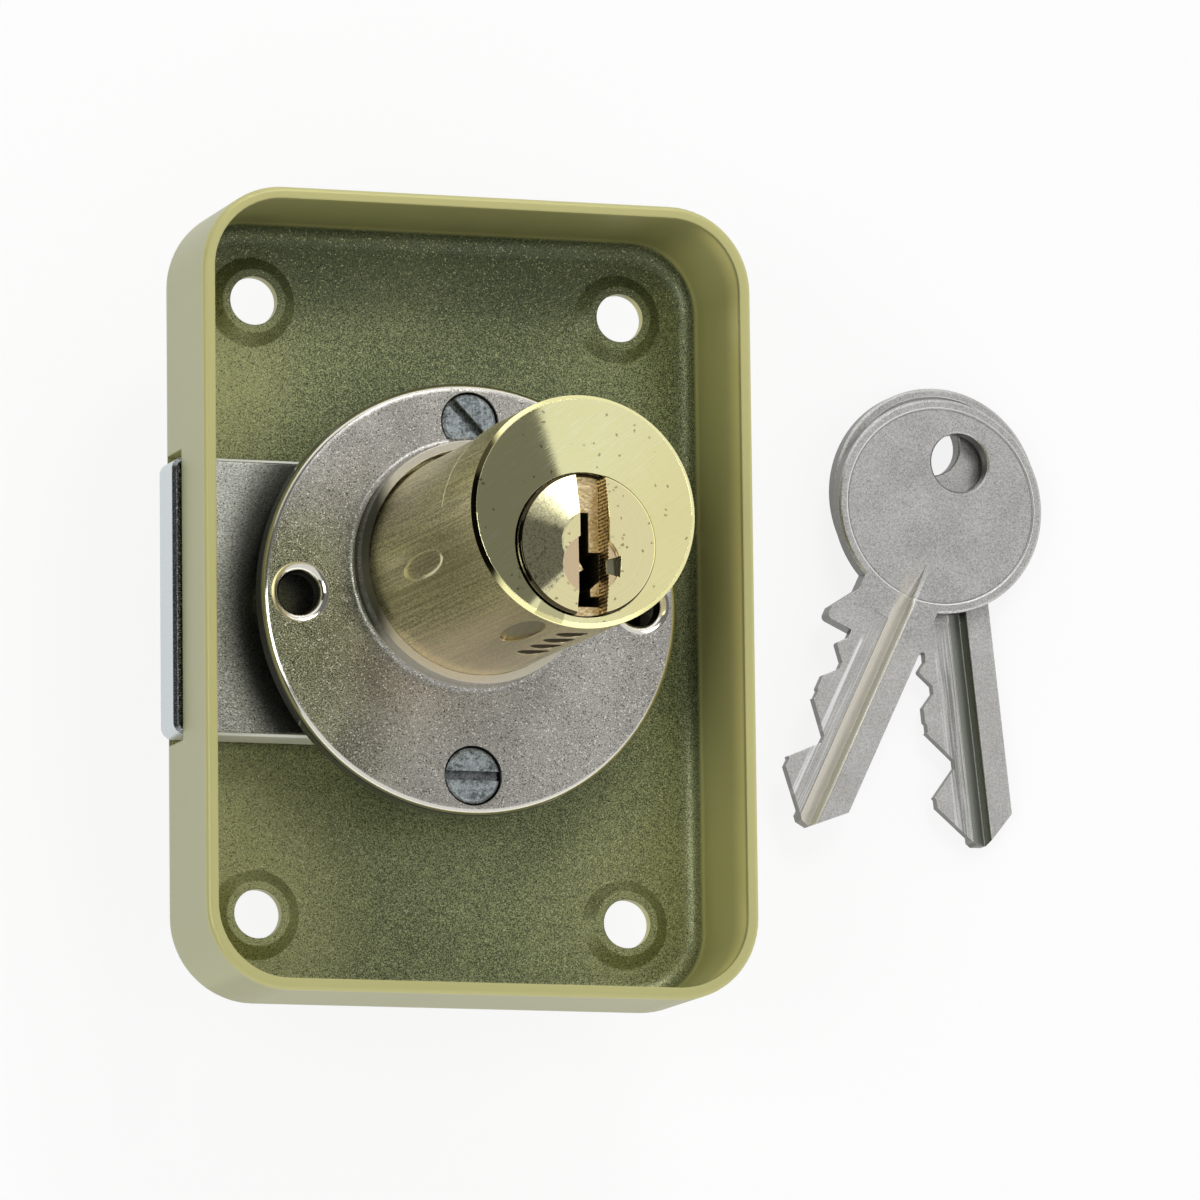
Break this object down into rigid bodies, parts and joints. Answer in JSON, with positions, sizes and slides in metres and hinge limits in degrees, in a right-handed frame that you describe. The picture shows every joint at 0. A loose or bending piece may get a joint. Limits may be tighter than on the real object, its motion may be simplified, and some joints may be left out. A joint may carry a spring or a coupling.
{
  "type": "rim lock",
  "caption": "Surface-mounted rim lock: pressed steel case, sliding flat bolt, round key cylinder, inside turn knob and two keys.",
  "frame": {"origin": "on the key plug's axis, in the plane of the case's rim that rests against the door", "axes": "+Z along the lock cylinder, out of the case's open side towards the outside of the door; +Y up, +X to the right as seen from the door side; the bolt slides along -X"},
  "size_m": [0.1021, 0.081, 0.0682],
  "materials": {
    "case_paint": "olive gold metallic paint with fine flecks",
    "knob_paint": "olive gold metallic paint, as the case",
    "plate_steel": "plated steel with a fine blasted grain",
    "bolt_steel": "plated flat steel, brushed along its length",
    "post_steel": "turned bright steel",
    "screw_steel": "bright zinc-plated steel",
    "spring_steel": "drawn spring steel",
    "pin_steel": "turned steel",
    "body_brass": "turned pale brass, satin sides, bright face",
    "plug_brass": "polished pale brass with a milled slot",
    "pin_brass": "turned brass",
    "key_nickel": "satin nickel silver"
  },
  "bodies": {
    "lock_case": {"case": "case_paint", "guide_posts": "post_steel", "cylinder_plate": "plate_steel", "plate_screws": "screw_steel", "cylinder_body": "body_brass", "chamber_caps": "body_brass", "pin_springs": "spring_steel", "driver_pins": "pin_steel", "spindle_bush": "post_steel"},
    "key_plug": {"plug": "plug_brass", "key_pins": "pin_brass", "plug_clip": "spring_steel", "tail_bar": "post_steel"},
    "turn_knob": {"drive_spindle": "post_steel", "drive_hub": "post_steel", "drive_pinion": "post_steel", "knob_washer": "post_steel", "knob": "knob_paint", "knob_screw": "screw_steel"},
    "sliding_bolt": {"bolt": "bolt_steel"},
    "lower_key": {"key_rear": "key_nickel"},
    "upper_key": {"key_front": "key_nickel"}
  },
  "joints": [
    {"name": "plug_turn", "type": "hinge", "parent": "lock_case", "child": "key_plug", "pos_m": [0, 0, 0], "axis": [0, 0, 1], "range_deg": [0, 360]},
    {"name": "knob_turn", "type": "hinge", "parent": "lock_case", "child": "turn_knob", "pos_m": [0, 0, 0], "axis": [0, 0, 1], "range_deg": [0, 360]},
    {"name": "bolt_throw", "type": "slide", "parent": "lock_case", "child": "sliding_bolt", "axis": [-1, 0, 0], "range_m": [0, 0.01571]},
    {"name": "lower_key_out", "type": "slide", "parent": "lock_case", "child": "lower_key", "axis": [1, 0, 0], "range_m": [0, 0.04]},
    {"name": "upper_key_lift", "type": "slide", "parent": "lock_case", "child": "upper_key", "axis": [0, 0, 1], "range_m": [0, 0.04]}
  ],
  "couplings": [
    {"joint": "plug_turn", "follows": "bolt_throw", "rad_per_m": 400},
    {"joint": "knob_turn", "follows": "bolt_throw", "rad_per_m": 400}
  ]
}
